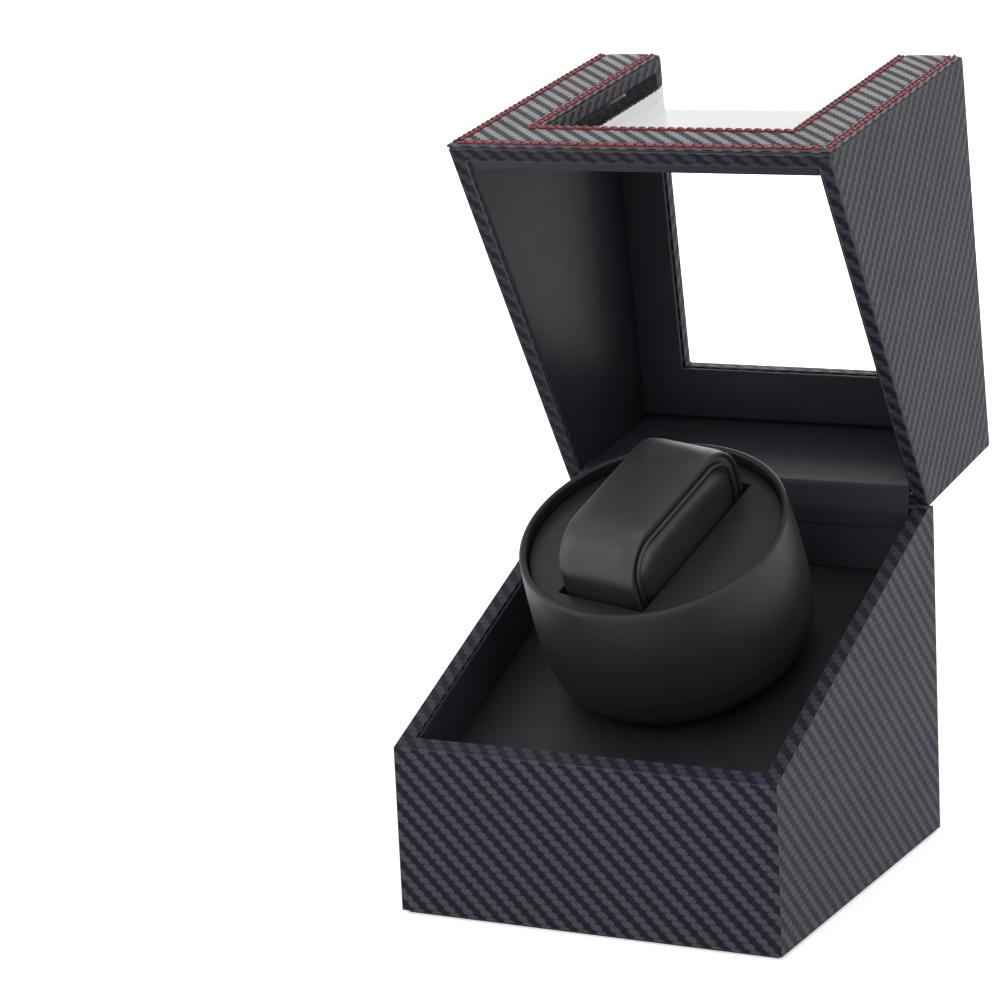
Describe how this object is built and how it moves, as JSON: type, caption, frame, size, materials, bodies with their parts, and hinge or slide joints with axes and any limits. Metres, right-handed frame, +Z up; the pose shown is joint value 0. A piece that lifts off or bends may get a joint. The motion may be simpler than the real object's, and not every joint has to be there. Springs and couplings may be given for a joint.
{
  "type": "watch winder box",
  "caption": "Wedge-shaped single watch winder: wrapped box, windowed tip-back lid with stitched facing, and a leaning drum that turns a watch pillow.",
  "frame": {"origin": "on the surface the box stands on, under the middle of the closed box, in the underside of the felt", "axes": "+X to the right seen from the front, +Y from the front towards the hinge at the back, +Z up"},
  "size_m": [0.125, 0.1817, 0.2439],
  "materials": {
    "mdf_board": "raw medium-density fibreboard",
    "carbon_wrap": "embossed twill-pattern leatherette, semi-gloss",
    "facing_leather": "embossed twill-pattern leatherette with red stitching, semi-gloss",
    "black_lining": "smooth black leatherette over card",
    "black_felt": "black felt",
    "fibre_board": "dark hardboard",
    "zinc_steel": "zinc plated",
    "magnet_nickel": "nickel plated",
    "black_steel": "black oxide",
    "housing_plastic": "fine moulded texture",
    "bush_brass": "turned",
    "motor_can": "drawn steel can",
    "board_green": "solder mask",
    "clear_acrylic": "clear, polished",
    "drum_black": "satin black",
    "gear_nylon": "natural nylon",
    "pillow_foam": "dense foam",
    "pillow_leather": "soft smooth black leatherette"
  },
  "bodies": {
    "base": {"base_front_board": "mdf_board", "base_rear_board": "mdf_board", "base_left_board": "mdf_board", "base_right_board": "mdf_board", "base_wrap": "carbon_wrap", "bottom_cover": "fibre_board", "base_felt": "black_felt", "corner_blocks": "mdf_board", "cover_screws": "zinc_steel", "deck_board": "black_lining", "deck_rails": "mdf_board", "base_front_lining": "black_lining", "base_rear_lining": "black_lining", "base_left_lining": "black_lining", "base_right_lining": "black_lining", "base_magnets": "magnet_nickel", "drive_housing": "housing_plastic", "drive_cover": "housing_plastic", "shaft_bush": "bush_brass", "idler_pin": "zinc_steel", "motor": "motor_can", "housing_screws": "zinc_steel", "circuit_board": "board_green", "power_inlet": "housing_plastic", "mode_switch": "motor_can", "rear_plate": "housing_plastic", "hinge_base_leaves": "black_steel", "hinge_pins": "black_steel", "hinge_base_screws": "black_steel"},
    "lid": {"lid_left_board": "mdf_board", "lid_right_board": "mdf_board", "lid_rear_board": "mdf_board", "lid_front_board": "mdf_board", "lid_top_board": "mdf_board", "lid_wrap": "carbon_wrap", "lid_facing": "facing_leather", "window_pane": "clear_acrylic", "lid_front_lining": "black_lining", "lid_top_lining": "black_lining", "lid_left_lining": "black_lining", "lid_right_lining": "black_lining", "lid_rear_lining": "black_lining", "lid_magnets": "magnet_nickel", "hinge_lid_leaves": "black_steel", "hinge_lid_screws": "black_steel"},
    "drum": {"drum_cup": "drum_black", "drum_disc": "drum_black", "drum_hub": "gear_nylon", "drum_shaft": "zinc_steel", "output_gear": "gear_nylon", "drum_screws": "zinc_steel"},
    "pillow": {"pillow_core": "pillow_foam", "pillow_band": "pillow_leather", "pillow_left_cheek": "pillow_leather", "pillow_right_cheek": "pillow_leather", "pillow_welts": "pillow_leather"},
    "idler": {"idler_gear": "gear_nylon"},
    "rotor": {"motor_pinion": "bush_brass"},
    "knob": {"mode_knob": "housing_plastic"}
  },
  "joints": [
    {"name": "lid_hinge", "type": "hinge", "parent": "base", "child": "lid", "pos_m": [0, 0.06195, 0.10922], "axis": [1, 0, 0], "range_deg": [0, 81.8]},
    {"name": "drum_turn", "type": "hinge", "parent": "base", "child": "drum", "pos_m": [0, -0.0089, 0.11171], "axis": [0, -0.4446, 0.8957], "continuous": true},
    {"name": "pillow_lift", "type": "slide", "parent": "drum", "child": "pillow", "axis": [0, -0.4446, 0.8957], "range_m": [0, 0.018]},
    {"name": "idler_turn", "type": "hinge", "parent": "base", "child": "idler", "pos_m": [0.024, -0.0089, 0.11171], "axis": [0, -0.4446, 0.8957], "continuous": true},
    {"name": "rotor_turn", "type": "hinge", "parent": "base", "child": "rotor", "pos_m": [0.024, -0.02753, 0.10246], "axis": [0, -0.4446, 0.8957], "continuous": true},
    {"name": "knob_turn", "type": "hinge", "parent": "base", "child": "knob", "pos_m": [0.015, 0.06465, 0.025], "axis": [0, 1, 0], "range_deg": [0, 270]}
  ],
  "couplings": [
    {"joint": "idler_turn", "follows": "drum_turn", "ratio": -4},
    {"joint": "rotor_turn", "follows": "drum_turn", "ratio": 13.333}
  ]
}
